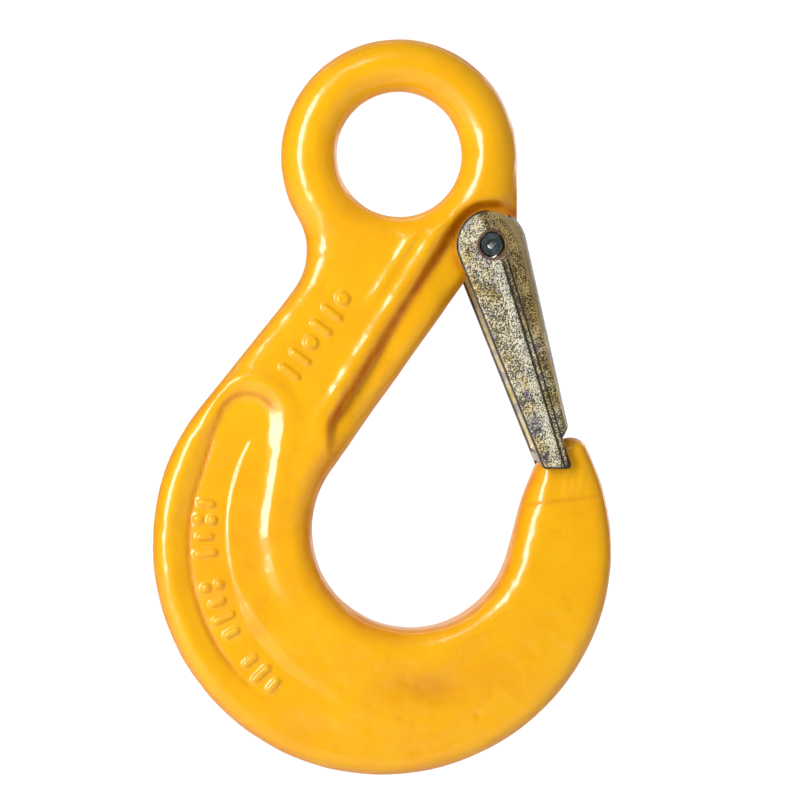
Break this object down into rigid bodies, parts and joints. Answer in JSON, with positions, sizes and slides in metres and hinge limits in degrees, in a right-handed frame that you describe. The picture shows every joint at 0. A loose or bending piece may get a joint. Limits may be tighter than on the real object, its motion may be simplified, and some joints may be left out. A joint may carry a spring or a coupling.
{
  "type": "eye sling hook with latch",
  "caption": "Forged eye sling hook with a sprung latch that closes its mouth; hangs from a shackle or chain link through its eye.",
  "frame": {"origin": "centre of the eye's bore, half way through the hook's thickness", "axes": "+X out of the hook's mouth, +Y along the eye's bore, +Z from the bowl up to the crown of the eye"},
  "size_m": [0.0911, 0.0184, 0.1464],
  "materials": {
    "enamelled_forging": "gloss",
    "plated_latch": "satin",
    "black_pin": "satin",
    "spring_wire": "satin"
  },
  "bodies": {
    "hook": {"hook_body": "enamelled_forging", "latch_pin": "black_pin", "latch_spring": "spring_wire"},
    "latch": {"latch": "plated_latch"}
  },
  "joints": [
    {"name": "latch_hinge", "type": "hinge", "parent": "hook", "child": "latch", "pos_m": [0.0181, 0, -0.01835], "axis": [0, 1, 0], "range_deg": [0, 47], "stiffness_Nm_per_rad": 0.02, "springref_deg": -57.3, "deforming": ["latch_spring"]}
  ]
}
